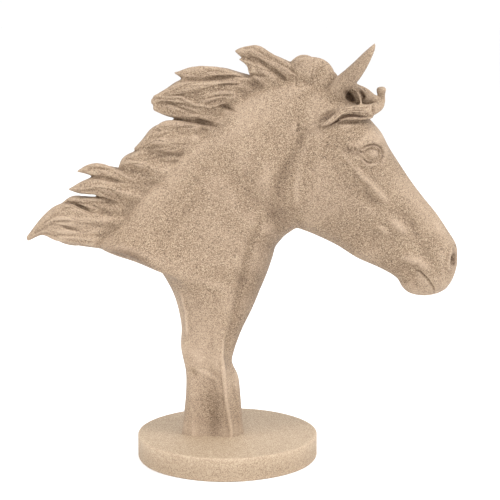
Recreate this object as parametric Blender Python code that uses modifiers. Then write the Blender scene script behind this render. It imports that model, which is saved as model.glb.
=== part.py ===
# Horse head with a blown mane, cast in one piece with its fluted stem, on a round base.
# Metres, +Z up. The origin is the centre of the base's underside and the horse looks along +X.

import math

import bmesh
import bpy
import numpy as np

# Driving sizes
BASE_RADIUS = 0.0885
BASE_HEIGHT = 0.0228
BASE_EDGE_RADIUS = 0.0035
SEAT_GAP = 0.0003
FIGURE_HEIGHT = 0.3784

# The figure is drawn from its foot at -1.4 to its ear tips at 377, and all of its form is a share
# of its height
DRAWN_FOOT = -1.4
DRAWN_TOP = 377.0
UNIT = FIGURE_HEIGHT / (DRAWN_TOP - DRAWN_FOOT)
SEAT = BASE_HEIGHT + SEAT_GAP

# Fineness: sides of the base, grain of the modelled surface in drawn units, and facets kept of it
BASE_SIDES = 72
CLAY_GRAIN = 1.9
FACETS = 8500

# Colour and roughness of cast sandstone
SAND_COLOUR = (0.52, 0.39, 0.28)
SAND_ROUGHNESS = 0.85

# The head's own frame: the poll, the way down the face, and the way out of the forehead
POLL = np.array((103.0, 0.0, 344.0))
DOWN_FACE = np.array((0.5, 0.0, -0.866))
OUT_OF_FACE = np.array((0.866, 0.0, 0.5))
SIDEWAYS = np.array((0.0, 1.0, 0.0))


def spline(before, start, end, after, t):
    """Smooth curve from start to end, in line with the points before and after them."""
    return 0.5 * (2 * start + (end - before) * t
                  + (2 * before - 5 * start + 4 * end - after) * t ** 2
                  + (3 * start - 3 * end + after - before) * t ** 3)


def flow(values, count):
    """Smooth run of count rows through the given rows, evenly spread between them."""
    rows = np.array(values, dtype=float)
    last = len(rows) - 1
    padded = np.vstack((2 * rows[0] - rows[1], rows, 2 * rows[-1] - rows[-2]))
    place = np.linspace(0.0, last, count)
    start = np.minimum(place.astype(int), last - 1)
    return spline(*(padded[start + k] for k in range(4)), (place - start)[:, None])


def closed_flow(points, steps):
    """Closed smooth curve through the points, with steps samples from each to the next."""
    rows = np.array(points, dtype=float)
    t = (np.arange(steps) / steps)[:, None]
    return np.vstack([spline(*(rows[(i + k) % len(rows)] for k in (-1, 0, 1, 2)), t)
                      for i in range(len(rows))])


def add_skin(clay, rings):
    """Add one closed skin to the clay: a grid rolled up through the rings and capped."""
    count, around = len(rings), len(rings[0])
    skin = bmesh.new()
    bmesh.ops.create_grid(skin, x_segments=around, y_segments=count - 1, size=1.0)
    for index, vert in enumerate(skin.verts):
        row, column = divmod(index, around + 1)
        vert.co = rings[row][column % around]
    bmesh.ops.remove_doubles(skin, verts=skin.verts, dist=0.001)
    bmesh.ops.holes_fill(skin, edges=skin.edges)
    bmesh.ops.recalc_face_normals(skin, faces=skin.faces)
    mesh = bpy.data.meshes.new("skin")
    skin.to_mesh(mesh)
    skin.free()
    clay.from_mesh(mesh)
    bpy.data.meshes.remove(mesh)


# Neck and stem: each row is the crest or back end (x, z), the throat or front end (x, z),
# and the half widths on the way from one to the other
NECK_SHARES = (0.04, 0.15, 0.35, 0.58, 0.80, 0.95)
NECK_ROWS = (
    (104, 336, 78, 207, 12, 20, 26, 27, 24, 15),
    (74, 344, 68, 202, 12, 19, 26, 28, 27, 16),
    (38, 338, 60.5, 198.5, 12, 19, 26, 29, 28, 17),
    (5, 322, 55, 194, 12, 19, 27, 30, 29, 17),
    (-25, 297, 51, 189.5, 12, 19, 28, 32, 31, 18),
    (-53, 266, 47.5, 183, 12, 19, 30, 34, 32, 18),
    (-79, 237, 44.5, 174, 12, 20, 32, 36, 33, 19),
    (-104, 207, 41, 163, 12, 23, 34, 37, 33, 19),
    (-125, 187, 37, 151, 10, 28, 36, 37, 32, 18),
    (-107, 176, 33, 140, 7, 18, 36, 36, 31, 17),
    (-86, 171, 28, 129, 6, 14, 33, 33, 30, 16),
    (-69, 164, 22.5, 116, 6, 15, 29, 30, 29, 15),
    (-58, 151, 17.5, 104, 8, 18, 26, 27, 28, 15),
    (-50.5, 132, 12, 92, 10, 18, 21, 24, 27, 14),
    (-46, 106, 8, 80, 10, 16, 17, 19, 26, 13),
    (-43, 84, 6.5, 69, 9, 14, 14, 16, 25, 12),
    (-41, 60, 9.5, 54, 9, 13, 11, 14, 24, 13),
    (-41, 38, 12.5, 37, 9, 13, 10, 13, 22, 13),
    (-42.5, 17, 14.5, 16, 9, 13, 11, 13, 19, 13),
    (-44, -8, 15.5, -8, 9.5, 13.5, 12.5, 14, 18, 13),
)
NECK_RINGS = 90

# Head: each row is the way down the face, the height of the face line and of the jaw line
# out of the poll, and the half widths on the way from face to jaw
HEAD_SHARES = (0.06, 0.22, 0.42, 0.65, 0.85, 0.95)
HEAD_ROWS = (
    (8, -3, -62, 12, 23, 27, 26, 22, 13),
    (28, 6, -66, 15, 27, 31, 31, 26, 15),
    (50, 9, -85, 21, 33, 34, 34, 28, 15),
    (66, 12.5, -100, 24, 37, 37, 36, 29, 15),
    (82, 13.5, -108, 22, 36, 37, 36, 29, 15),
    (100, 14.5, -105.5, 18, 30, 34, 33, 26, 14),
    (120, 16, -91, 15, 25, 30, 28, 22, 12),
    (140, 17.6, -78, 13, 20, 25, 23, 18, 10),
    (160, 20.5, -66, 12, 18, 22, 20, 16, 9),
    (180, 22, -52, 12, 18.5, 21, 19, 14, 9),
    (196, 23, -43.5, 13, 21.5, 22.5, 19, 15, 10),
    (207, 20, -43.5, 13, 21.5, 22.5, 19, 15, 10),
    (216, 13.5, -39.5, 12, 18.5, 20, 17, 14, 9),
    (225, 5, -29, 9, 14, 15, 13, 10, 7),
    (231, -4, -19, 4, 6, 7, 6, 5, 3),
)
HEAD_RINGS = 80
RING_STEPS = 6


def flank_ring(start, end, shares, widths):
    """Closed ring from one end to the other and back, bulging to both sides by the widths."""
    near = [start + (end - start) * share - SIDEWAYS * width for share, width in zip(shares, widths)]
    far = [start + (end - start) * share + SIDEWAYS * width for share, width in zip(shares, widths)]
    return closed_flow([start] + near + [end] + far[::-1], RING_STEPS)


def neck_rings():
    rings = []
    for row in flow(NECK_ROWS, NECK_RINGS):
        crest = np.array((row[0], 0.0, row[1]))
        throat = np.array((row[2], 0.0, row[3]))
        rings.append(flank_ring(crest, throat, NECK_SHARES, row[4:]))
    return rings


def head_rings():
    rings = []
    for row in flow(HEAD_ROWS, HEAD_RINGS):
        face = POLL + DOWN_FACE * row[0] + OUT_OF_FACE * row[1]
        jaw = POLL + DOWN_FACE * row[0] + OUT_OF_FACE * row[2]
        rings.append(flank_ring(face, jaw, HEAD_SHARES, row[3:]))
    return rings


# Strands: samples along one, points around it, and the least half thickness of its tip
STRAND_SAMPLES = 34
STRAND_SIDES = 12
TIP_THICKNESS = 0.25


def directions(line):
    """Sideways and across a line of points, both square to it, at each of its points."""
    ahead = np.gradient(line, axis=0)
    ahead = ahead / np.linalg.norm(ahead, axis=1)[:, None]
    side = SIDEWAYS - ahead * ahead[:, 1:2]
    side = side / np.linalg.norm(side, axis=1)[:, None]
    return side, np.cross(ahead, side)


def strand_rings(path, tall, deep, sides=STRAND_SIDES):
    """Rings of one strand; tall and deep are its half sizes from root to tip."""
    line = flow(path, STRAND_SAMPLES)
    size = np.maximum(flow(np.column_stack((tall, deep)), STRAND_SAMPLES), TIP_THICKNESS)
    side, across = directions(line)
    angles = np.linspace(0.0, 2 * math.pi, sides, endpoint=False)
    return [[line[i] + across[i] * size[i, 0] * math.cos(a) + side[i] * size[i, 1] * math.sin(a)
             for a in angles] for i in range(STRAND_SAMPLES)]


# Mane locks: upper edge and lower edge from root to tip (x, z), half depth, and strands
MANE_LOCKS = (
    (((104, 338), (97, 350), (87, 358), (78, 363), (62, 354)),
     ((86, 320), (76, 330), (70, 338), (64, 344), (54, 350)), 13, 3),
    (((84, 344), (62, 359), (42, 368), (29, 374), (14, 374), (8, 370)),
     ((70, 326), (53, 346), (38, 355), (25, 361), (16, 366), (8, 370)), 12, 3),
    (((62, 340), (46, 352), (33, 358), (23, 362), (13, 363)),
     ((44, 314), (32, 336), (25, 347), (20, 355), (13, 363)), 9, 2),
    (((50, 340), (13, 350), (-4, 354), (-20, 356), (-32, 355), (-49, 349)),
     ((38, 324), (13, 341), (-4, 343), (-20, 342), (-36, 341), (-49, 349)), 11, 3),
    (((40, 338), (8, 345), (-20, 343), (-42, 341), (-56, 334), (-69, 327)),
     ((28, 318), (12, 332), (-4, 334), (-20, 330), (-45, 328), (-69, 326)), 12, 3),
    (((28, 330), (6, 336), (-10, 335), (-26, 329), (-47, 329), (-71, 325)),
     ((14, 306), (3, 320), (-10, 319), (-26, 315), (-47, 320), (-71, 320)), 14, 3),
    (((15, 315), (-4, 320), (-20, 319), (-34, 316), (-53, 320), (-70, 320)),
     ((0, 290), (-11, 299), (-25, 301), (-38, 304), (-53, 310), (-68, 315)), 12, 2),
    (((4, 300), (-26, 304), (-46, 304), (-61, 298), (-73, 288), (-86, 277)),
     ((-12, 272), (-34, 274), (-51, 273), (-67, 273), (-80, 275), (-88, 276)), 16, 3),
    (((-16, 274), (-50, 274), (-69, 276), (-83, 276), (-93, 270), (-102, 260)),
     ((-40, 240), (-60, 243), (-77, 248), (-89, 252), (-98, 256), (-104, 259)), 16, 4),
    (((-60, 249), (-90, 256), (-105, 259), (-119, 262), (-131, 261), (-143, 257)),
     ((-66, 232), (-92, 240), (-106, 246), (-119, 249), (-131, 252), (-143, 256)), 12, 2),
    (((-60, 240), (-91, 244), (-108, 248), (-122, 251), (-135, 248), (-151, 239)),
     ((-70, 218), (-96, 227), (-112, 230), (-125, 233), (-139, 234), (-151, 238)), 14, 3),
    (((-70, 228), (-101, 227), (-120, 231), (-135, 232), (-149, 232), (-161, 223)),
     ((-80, 206), (-108, 213), (-125, 215), (-135, 219), (-147, 224), (-161, 222)), 12, 2),
    (((-80, 214), (-112, 214), (-135, 219), (-151, 224), (-168, 214), (-191, 192)),
     ((-88, 196), (-120, 202), (-142, 201), (-161, 202), (-176, 200), (-192, 190)), 15, 3),
    (((-90, 204), (-122, 203), (-144, 202), (-161, 202), (-176, 201), (-192, 191)),
     ((-108, 180), (-133, 183), (-149, 185), (-163, 189), (-177, 195), (-191, 189)), 13, 2),
)
LOCK_SAMPLES = 15
LOCK_PLACES = (0, 0.2, 0.5, 0.8, 1)
LOCK_DEPTH = (1.0, 1.05, 0.85, 0.55, 0.15)
LEAST_HALF_HEIGHT = 0.7
# The leaf between the strands, as shares of the lock's half height and half depth
CORE_HEIGHT = 0.96
CORE_DEPTH = 0.86
CORE_SIDES = 20
# The strands: how far they wander in their lane, their fill of it, and how deep they are bedded
LANE_WANDER = 0.32
LANE_FILL = 0.92
STRAND_DEPTH = 4.2
STRAND_BED = 2.6
LOCK_LEAN = 2.0


def lay_strands(clay, line, half, deep, strands, turn):
    """Strands side by side along both faces of a lock, each wandering a little in its lane."""
    share = np.linspace(0.0, 1.0, len(line))
    height = np.linalg.norm(half, axis=1)
    side = directions(line)[0]
    for face in (-1, 1):
        for k in range(strands):
            wander = LANE_WANDER / strands * np.sin(5.0 * share + 2.3 * k + turn + face)
            lane = np.clip((2 * k + 1) / strands - 1 + wander, -0.9, 0.9)
            out = face * (deep * np.sqrt(1 - 0.9 * lane ** 2) - np.minimum(STRAND_BED, deep * 0.5))
            points = line + half * lane[:, None] + side * out[:, None]
            thick = np.maximum(height / strands * LANE_FILL, LEAST_HALF_HEIGHT)
            add_skin(clay, strand_rings(points, thick, np.minimum(thick, STRAND_DEPTH)))


def add_lock(clay, upper, lower, depth, strands, turn):
    """One lock of the mane: a leaf between its two edges, with strands along both its faces."""
    top = flow(upper, LOCK_SAMPLES)
    bottom = flow(lower, LOCK_SAMPLES)
    share = np.linspace(0.0, 1.0, LOCK_SAMPLES)
    lean = LOCK_LEAN * math.sin(2.4 * turn) * np.sin(math.pi * share)
    middle = (top + bottom) / 2
    line = np.column_stack((middle[:, 0], lean, middle[:, 1]))
    half = np.column_stack(((top - bottom)[:, 0], np.zeros(LOCK_SAMPLES), (top - bottom)[:, 1])) / 2
    tall = np.maximum(np.linalg.norm(half, axis=1), LEAST_HALF_HEIGHT)
    deep = depth * np.interp(share, LOCK_PLACES, LOCK_DEPTH)
    add_skin(clay, strand_rings(line, tall * CORE_HEIGHT, deep * CORE_DEPTH, CORE_SIDES))
    lay_strands(clay, line, half, deep, strands, turn)


# Ear: its line from root to tip (x, sideways, z), its half breadth across the head, its half
# depth, and how far the scroll is hollowed in front
EAR_LINE = ((103, 14, 328), (110, 17, 339), (117, 20, 346), (124.5, 23, 355), (131.5, 25, 365),
            (135.8, 25.5, 372), (138.4, 25, 378))
EAR_BREADTH = (9, 10, 10, 9, 6.5, 4, 0.8)
EAR_DEPTH = (10.5, 10, 9.4, 8, 5.8, 3.4, 0.7)
EAR_HOLLOW = (0, 0, 0.5, 0.95, 0.9, 0.1, 0)
EAR_WALL = 3.2
EAR_OPENING = 2.35
EAR_SIDES = 14
# The far ear is pricked a little further forward
FAR_EAR_SHIFT = np.array((4.0, 0.0, -1.2))


def ear_rings(side):
    """Pricked ear: a scroll that is round behind and open in front."""
    line = flow([(x, side * y, z) for x, y, z in EAR_LINE], STRAND_SAMPLES)
    if side > 0:
        line = line + FAR_EAR_SHIFT
    size = flow(np.column_stack((EAR_BREADTH, EAR_DEPTH, EAR_HOLLOW)), STRAND_SAMPLES)
    across, back = directions(line)
    turn = np.linspace(-EAR_OPENING, EAR_OPENING, EAR_SIDES)
    dip = np.sin(np.linspace(0, math.pi, EAR_SIDES))[:, None]
    rings = []
    for i in range(STRAND_SAMPLES):
        breadth, depth, hollow = size[i]
        outer = np.outer(np.sin(turn) * breadth, across[i]) + np.outer(np.cos(turn) * depth, back[i])
        chord = outer[0] + np.linspace(0, 1, EAR_SIDES)[:, None] * (outer[-1] - outer[0])
        inner = outer * max(1 - EAR_WALL / breadth, 0.0)
        front = chord + (inner - chord) * max(hollow, 0.0) * dip
        rings.append(line[i] + np.vstack((outer, front[-2:0:-1])))
    return rings


# Forelock: each wisp is its line from root to tip (x, sideways, z), its half height and half
# depth along it, and its strands
FORELOCK = (
    # The heart of the tuft, over the forehead between the ears
    (((94, 0, 334), (106, 0, 337), (118, 0, 332), (128, 0, 325), (138, 0, 314)),
     (9, 9, 8.5, 7.5, 4), (11, 12, 12, 10, 6), 0),
    # The wisp whose tip curls up in front
    (((98, 3, 334), (110, 4, 337), (122, 3, 333), (132, 0, 328), (140, -4, 327), (145.5, -7, 330),
      (147, -8, 334.5)),
     (5, 5, 4.5, 4, 3.8, 4, 3.2), (5, 5, 5, 5, 5, 4.5, 3.5), 0),
    # The near wisp, from the curl back along the temple
    (((142, -5, 331), (145.8, -12, 325), (144, -19, 318), (137, -24, 315.5), (128, -28, 316.5),
      (118, -31, 316.8), (110, -33, 314), (103, -34, 310.5), (96, -34, 306.5), (86, -32.5, 302)),
     (3.5, 4.5, 5.2, 5.6, 5.2, 4.8, 4.3, 3.6, 2.8, 0.8),
     (3.5, 4.5, 4.5, 4.2, 3.8, 3.4, 3.2, 3, 2.4, 0.8), 2),
    # The thin wisp under it
    (((138, -22, 311), (131, -27, 310), (122, -30, 310.5), (113, -32.5, 309), (105, -34, 305)),
     (2.4, 2.8, 2.8, 2.2, 0.8), (2.4, 3, 3, 2.4, 0.8), 0),
    # The short wisp in front of the near ear
    (((112, -9, 338), (121, -13, 336), (127, -17, 330), (129, -22, 322), (128, -26, 317)),
     (2.2, 2.2, 2, 1.8, 1.6), (2.4, 2.2, 2, 1.8, 1.6), 0),
    # The far wisps
    (((100, 3, 335), (113, 7, 338), (125, 10, 334), (136, 14, 328), (142, 19, 320), (137, 25, 314),
      (127, 30, 313), (115, 33, 312), (103, 34, 307), (94, 33, 300)),
     (5, 5, 4.8, 4.6, 5, 5, 4.6, 4, 3, 0.8), (5, 5, 5, 4.5, 4.2, 3.8, 3.4, 3.2, 2.6, 0.8), 2),
    (((136, 24, 309), (128, 29, 307), (119, 32, 306), (110, 34, 302)),
     (2.2, 2.6, 2.2, 0.8), (2.2, 2.8, 2.4, 0.8), 0),
)
WISP_SAMPLES = 21


def add_wisp(clay, path, tall, deep, strands, turn):
    add_skin(clay, strand_rings(path, tall, deep, CORE_SIDES))
    if strands:
        line = flow(path, WISP_SAMPLES)
        size = flow(np.column_stack((tall, deep)), WISP_SAMPLES)
        half = directions(line)[1] * size[:, :1]
        lay_strands(clay, line, half, size[:, 1] * 1.15, strands, turn)


# Eye: the eyeball's centre (x, sideways, z) and half sizes, then the lids' edges from the back
# corner to the front one
EYE_CENTRE = (134.5, 26.5, 276.5)
EYE_HALF_SIZES = (8.6, 9.2, 7.4)
UPPER_LID = ((120, 32.5, 279), (126, 35, 282.5), (134, 36, 285), (141, 34.5, 283), (145.5, 31.5, 277.5),
             (148.5, 28, 271))
LOWER_LID = ((121, 32.5, 277), (127, 34.8, 272), (134, 35.2, 269), (141, 33.2, 269), (147.5, 28.5, 271))
LID_THICKNESS = 1.8
LID_CORNER = 1.1
EYE_ROWS = 15
EYE_SIDES = 24


def eyeball_rings(side):
    centre = np.array(EYE_CENTRE) * (1, side, 1)
    around = np.linspace(0, 2 * math.pi, EYE_SIDES, endpoint=False)
    rings = []
    for angle in np.linspace(0.05, math.pi - 0.05, EYE_ROWS):
        ring = np.column_stack((math.sin(angle) * np.cos(around), math.sin(angle) * np.sin(around),
                                np.full(EYE_SIDES, math.cos(angle))))
        rings.append(centre + ring * EYE_HALF_SIZES)
    return rings


def add_eye(clay, side):
    """Eyeball in its socket, between two lids."""
    add_skin(clay, eyeball_rings(side))
    for lid in (UPPER_LID, LOWER_LID):
        path = [(x, side * y, z) for x, y, z in lid]
        size = [LID_CORNER] + [LID_THICKNESS] * (len(path) - 2) + [LID_CORNER]
        add_skin(clay, strand_rings(path, size, size))


def clay_mesh():
    """All the masses of the figure, one through another."""
    clay = bmesh.new()
    add_skin(clay, neck_rings())
    add_skin(clay, head_rings())
    for side in (-1, 1):
        add_skin(clay, ear_rings(side))
        add_eye(clay, side)
    for turn, wisp in enumerate(FORELOCK):
        add_wisp(clay, *wisp, turn)
    for turn, lock in enumerate(MANE_LOCKS):
        add_lock(clay, *lock, turn)
    mesh = bpy.data.meshes.new("clay")
    clay.to_mesh(mesh)
    clay.free()
    return mesh


def melt(mesh):
    """One closed surface around all the masses, with even small faces."""
    lump = bpy.data.objects.new("lump", mesh)
    bpy.context.collection.objects.link(lump)
    remesh = lump.modifiers.new("melt", "REMESH")
    remesh.mode = "VOXEL"
    remesh.voxel_size = CLAY_GRAIN
    smooth = lump.modifiers.new("smooth", "SMOOTH")
    smooth.factor = 0.5
    smooth.iterations = 3
    return settled(lump)


# Tool marks on both flanks: the line (x, z), its breadth and how far it rises or, below nought, sinks
MARKS = (
    # Behind the jowl
    (((86, 303), (76, 292), (64, 275), (55, 260), (49, 244), (49, 228), (52, 212), (60, 205)), 5, -2.6),
    # Round the socket of the eye and the brow
    (((122, 284), (134, 288), (146, 282)), 9, 2.2),
    (((116, 286), (126, 289), (138, 290), (147, 286)), 5, 0.8),
    (((112, 284), (120, 279)), 2, -1.2),
    (((111, 277), (119, 278)), 2, -1.0),
    (((122, 271), (126, 265), (134, 262.5), (142, 264)), 2.5, -0.9),
    # The facial crest and the hollow under it
    (((118, 268), (133, 254), (141, 243), (147, 233)), 5, 2.4),
    (((122, 252), (132, 240), (139, 229), (146, 221)), 8, -2.4),
    # Folds of the cheek and the lips
    (((145, 208), (155, 204)), 3.5, -1.0),
    (((142, 204), (153, 199)), 4, 1.0),
    (((164, 211), (176, 205)), 6, 1.3),
    (((180, 214), (185, 199)), 4.5, -1.2),
    (((195, 193), (200, 172)), 4.5, -1.2),
    (((186, 178), (198, 171)), 5, 1.2),
    (((178, 166), (184, 163), (190, 158), (197, 151), (203, 139)), 1.7, -2.2),
    # The groove of the throat, the wing behind the poll and the swell of the neck
    (((55, 218), (47, 202), (34, 184), (20, 146), (11, 107), (-1, 83)), 7, -2.6),
    (((60, 279), (66, 293), (73, 313), (80, 326)), 7, -1.8),
    (((36, 265), (34, 232), (22, 199)), 12, 1.5),
    (((4, 279), (-10, 242), (-25, 204)), 12, -1.2),
    # The flute of the stem
    (((-24, 84), (-20, 56), (-14, 31), (-10, 0)), 8, -1.6),
)
# Hollows of each side: the line (x, sideways, z), its breadth and its sinking
NOSTRIL = (((219, 12, 181), (218.5, 13.5, 175), (216.5, 14.5, 169), (213.5, 15, 165)), 3.6, -6.0)
# Marks show fully where a flank faces sideways by more than the second value, and not at all
# under the first
FLANK_FROM = 0.1
FLANK_TO = 0.5


def line_distance(points, line):
    """Distance of each point from a broken line, in any number of dimensions."""
    best = np.full(len(points), np.inf)
    rows = np.array(line, dtype=float)
    for a, b in zip(rows[:-1], rows[1:]):
        along = b - a
        t = np.clip((points - a) @ along / (along @ along), 0.0, 1.0)
        best = np.minimum(best, np.linalg.norm(points - a - t[:, None] * along, axis=1))
    return best


def stroke(points, line, breadth, rise):
    """How far a stroke of the tool along the line lifts each point."""
    return rise * np.exp(-(line_distance(points, line) / breadth) ** 2)


def work_marks(mesh):
    """Work the marks into the surface, along its normals."""
    points = np.empty(len(mesh.vertices) * 3)
    normals = np.empty(len(mesh.vertices) * 3)
    mesh.vertices.foreach_get("co", points)
    mesh.vertex_normals.foreach_get("vector", normals)
    points = points.reshape(-1, 3)
    normals = normals.reshape(-1, 3)
    flank = np.clip((np.abs(normals[:, 1]) - FLANK_FROM) / (FLANK_TO - FLANK_FROM), 0.0, 1.0)
    lift = flank * sum(stroke(points[:, (0, 2)], *mark) for mark in MARKS)
    line, breadth, rise = NOSTRIL
    for side in (-1, 1):
        lift += stroke(points, [(x, side * y, z) for x, y, z in line], breadth, rise)
    points = points + normals * lift[:, None]
    mesh.vertices.foreach_set("co", points.ravel())
    mesh.update()


def settled(lump):
    """Take an object's evaluated mesh and remove the object."""
    graph = bpy.context.evaluated_depsgraph_get()
    result = bpy.data.meshes.new_from_object(lump.evaluated_get(graph))
    old = lump.data
    bpy.data.objects.remove(lump)
    bpy.data.meshes.remove(old)
    return result


def thin(mesh, facets):
    """Keep about so many facets where the form needs them most."""
    mesh.calc_loop_triangles()
    lump = bpy.data.objects.new("lump", mesh)
    bpy.context.collection.objects.link(lump)
    fewer = lump.modifiers.new("thin", "DECIMATE")
    fewer.ratio = facets / len(mesh.loop_triangles)
    return settled(lump)


def stand_flat(mesh):
    """Cut the foot off level and set the figure, at its real size, on its seat."""
    form = bmesh.new()
    form.from_mesh(mesh)
    everything = form.verts[:] + form.edges[:] + form.faces[:]
    cut = bmesh.ops.bisect_plane(form, geom=everything, dist=0.0001, plane_co=(0, 0, DRAWN_FOOT),
                                 plane_no=(0, 0, 1), clear_inner=True)
    rim = [item for item in cut["geom_cut"] if isinstance(item, bmesh.types.BMEdge)]
    bmesh.ops.holes_fill(form, edges=rim)
    bmesh.ops.triangulate(form, faces=form.faces)
    for vert in form.verts:
        vert.co.z -= DRAWN_FOOT
    bmesh.ops.scale(form, vec=(UNIT, UNIT, UNIT), verts=form.verts)
    bmesh.ops.translate(form, vec=(0, 0, SEAT), verts=form.verts)
    form.to_mesh(mesh)
    form.free()


def sand_paint(name):
    material = bpy.data.materials.new(name)
    material.use_nodes = True
    shader = material.node_tree.nodes["Principled BSDF"]
    shader.inputs["Base Color"].default_value = (*SAND_COLOUR, 1.0)
    shader.inputs["Roughness"].default_value = SAND_ROUGHNESS
    shader.inputs["Metallic"].default_value = 0.0
    return material


def make_figure(collection):
    mesh = melt(clay_mesh())
    work_marks(mesh)
    mesh = thin(mesh, FACETS)
    stand_flat(mesh)
    figure = bpy.data.objects.new("horse_head", mesh)
    collection.objects.link(figure)
    mesh.materials.append(sand_paint("sand_cast"))


def make_base(collection):
    bpy.ops.mesh.primitive_cylinder_add(vertices=BASE_SIDES, radius=BASE_RADIUS, depth=BASE_HEIGHT,
                                        location=(0, 0, BASE_HEIGHT / 2))
    base = bpy.context.object
    base.name = "round_base"
    bpy.context.collection.objects.unlink(base)
    collection.objects.link(base)
    edge = base.modifiers.new("edge", "BEVEL")
    edge.width = BASE_EDGE_RADIUS
    edge.segments = 2
    base.data.materials.append(sand_paint("sand_cast_base"))


def clear_scene():
    for thing in list(bpy.data.objects):
        bpy.data.objects.remove(thing)


def main():
    clear_scene()
    collection = bpy.data.collections.new("horse_head_sculpture")
    bpy.context.scene.collection.children.link(collection)
    make_figure(collection)
    make_base(collection)


main()
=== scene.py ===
# Horse head with a blown mane on a fluted stem and a round base, cast in speckled sand.
# The figure is modelled in drawn units and set at its real size on the seat that the frame gives.

import math

import bmesh
import bpy
import numpy as np
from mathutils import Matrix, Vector


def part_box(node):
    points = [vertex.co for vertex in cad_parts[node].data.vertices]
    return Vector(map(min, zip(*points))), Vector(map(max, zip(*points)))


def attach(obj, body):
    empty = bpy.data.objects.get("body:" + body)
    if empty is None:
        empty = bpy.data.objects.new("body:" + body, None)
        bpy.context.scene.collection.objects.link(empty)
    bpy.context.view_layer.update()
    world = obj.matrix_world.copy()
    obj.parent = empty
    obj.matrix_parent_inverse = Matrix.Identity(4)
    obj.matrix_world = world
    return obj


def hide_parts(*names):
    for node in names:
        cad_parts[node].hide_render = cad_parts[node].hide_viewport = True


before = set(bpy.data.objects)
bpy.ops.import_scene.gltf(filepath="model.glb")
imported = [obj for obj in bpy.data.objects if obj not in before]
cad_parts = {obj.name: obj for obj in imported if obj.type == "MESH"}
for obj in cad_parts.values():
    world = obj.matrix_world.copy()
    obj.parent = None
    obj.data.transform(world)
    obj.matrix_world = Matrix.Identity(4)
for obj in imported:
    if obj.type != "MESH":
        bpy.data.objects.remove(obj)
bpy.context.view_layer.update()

# Sizes taken from the frame, in metres
FIGURE_LOW, FIGURE_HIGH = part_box("horse_head")
BASE_LOW, BASE_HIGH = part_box("round_base")
BASE_RADIUS = (BASE_HIGH.x - BASE_LOW.x) / 2
BASE_HEIGHT = BASE_HIGH.z - BASE_LOW.z

# The figure is drawn from its foot at -1.4 to its ear tips at 376.5, and is cut off where it
# rests on the base
DRAWN_FOOT = -1.4
DRAWN_TOP = 376.5
UNIT = (FIGURE_HIGH.z - FIGURE_LOW.z) / (DRAWN_TOP - DRAWN_FOOT)
CUT_AT = DRAWN_FOOT - (FIGURE_LOW.z - BASE_HIGH.z) / UNIT

# Fineness: grain of the modelled surface in drawn units, and facets kept of it
CLAY_GRAIN = 0.85
FACETS = 190000

# Points of the drawing nearer than this are one point, and the cut at the foot snaps to points
# that are this close to it
WELD = 0.001
CUT_SNAP = 0.0001

# The head's own frame: the poll, the way down the face, and the way out of the forehead
POLL = np.array((103.0, 0.0, 344.0))
DOWN_FACE = np.array((0.5, 0.0, -0.866))
OUT_OF_FACE = np.array((0.866, 0.0, 0.5))
SIDEWAYS = np.array((0.0, 1.0, 0.0))


def spline(before, start, end, after, t):
    """Smooth curve from start to end, in line with the points before and after them."""
    return 0.5 * (2 * start + (end - before) * t
                  + (2 * before - 5 * start + 4 * end - after) * t ** 2
                  + (3 * start - 3 * end + after - before) * t ** 3)


def flow(values, count):
    """Smooth run of count rows through the given rows, evenly spread between them."""
    rows = np.array(values, dtype=float)
    last = len(rows) - 1
    padded = np.vstack((2 * rows[0] - rows[1], rows, 2 * rows[-1] - rows[-2]))
    place = np.linspace(0.0, last, count)
    start = np.minimum(place.astype(int), last - 1)
    return spline(*(padded[start + k] for k in range(4)), (place - start)[:, None])


def closed_flow(points, steps):
    """Closed smooth curve through the points, with steps samples from each to the next."""
    rows = np.array(points, dtype=float)
    t = (np.arange(steps) / steps)[:, None]
    return np.vstack([spline(*(rows[(i + k) % len(rows)] for k in (-1, 0, 1, 2)), t)
                      for i in range(len(rows))])


def as_mesh(form, name):
    """Turn a bmesh into a mesh and free it."""
    mesh = bpy.data.meshes.new(name)
    form.to_mesh(mesh)
    form.free()
    return mesh


def linked(name, data):
    """Put a new object with this data in the scene."""
    thing = bpy.data.objects.new(name, data)
    bpy.context.collection.objects.link(thing)
    return thing


def add_skin(clay, rings):
    """Add one closed skin to the clay: a grid rolled up through the rings and capped."""
    count, around = len(rings), len(rings[0])
    skin = bmesh.new()
    bmesh.ops.create_grid(skin, x_segments=around, y_segments=count - 1, size=1.0)
    for index, vert in enumerate(skin.verts):
        row, column = divmod(index, around + 1)
        vert.co = rings[row][column % around]
    bmesh.ops.remove_doubles(skin, verts=skin.verts, dist=WELD)
    bmesh.ops.holes_fill(skin, edges=skin.edges)
    bmesh.ops.recalc_face_normals(skin, faces=skin.faces)
    mesh = as_mesh(skin, "skin")
    clay.from_mesh(mesh)
    bpy.data.meshes.remove(mesh)


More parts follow.
